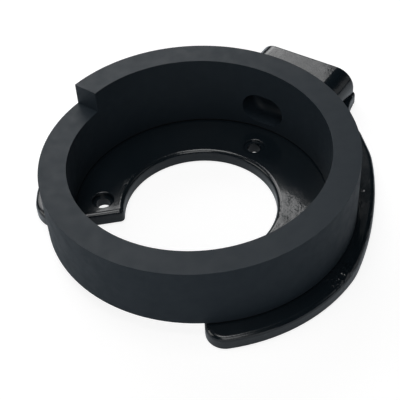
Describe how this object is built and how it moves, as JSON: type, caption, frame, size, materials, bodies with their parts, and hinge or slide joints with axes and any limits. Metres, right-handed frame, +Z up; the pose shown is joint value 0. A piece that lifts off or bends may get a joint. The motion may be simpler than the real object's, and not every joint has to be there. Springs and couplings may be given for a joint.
{
  "type": "toilet floor flange with helical-rim collar",
  "caption": "Floor flange: a cast horseshoe base plate with a round bore, floor-screw holes and a side boss, carrying a thick collar whose rim climbs one turn to a step.",
  "frame": {"origin": "on the bore axis at floor level, the plane of the base plate's underside", "axes": "+Z up along the bore and collar axis; -Y is the front, where the plate's cut end and the missing front left quarter are seen; the boss is at the back right"},
  "size_m": [0.2264, 0.2599, 0.0638],
  "materials": {
    "gloss_paint": "cast iron under thick gloss black paint with a slight orange-peel texture",
    "black_polyamide": "machined black polyamide, matt",
    "gasket_rubber": "flat black sheet rubber",
    "plated_steel": "zinc-plated steel, satin",
    "insert_brass": "turned brass",
    "ground_steel": "ground steel"
  },
  "bodies": {
    "root": {"base_plate": "gloss_paint", "collar": "black_polyamide", "collar_gasket": "gasket_rubber", "collar_screws": "plated_steel", "collar_inserts": "insert_brass", "dowel_pins": "ground_steel"}
  },
  "joints": []
}
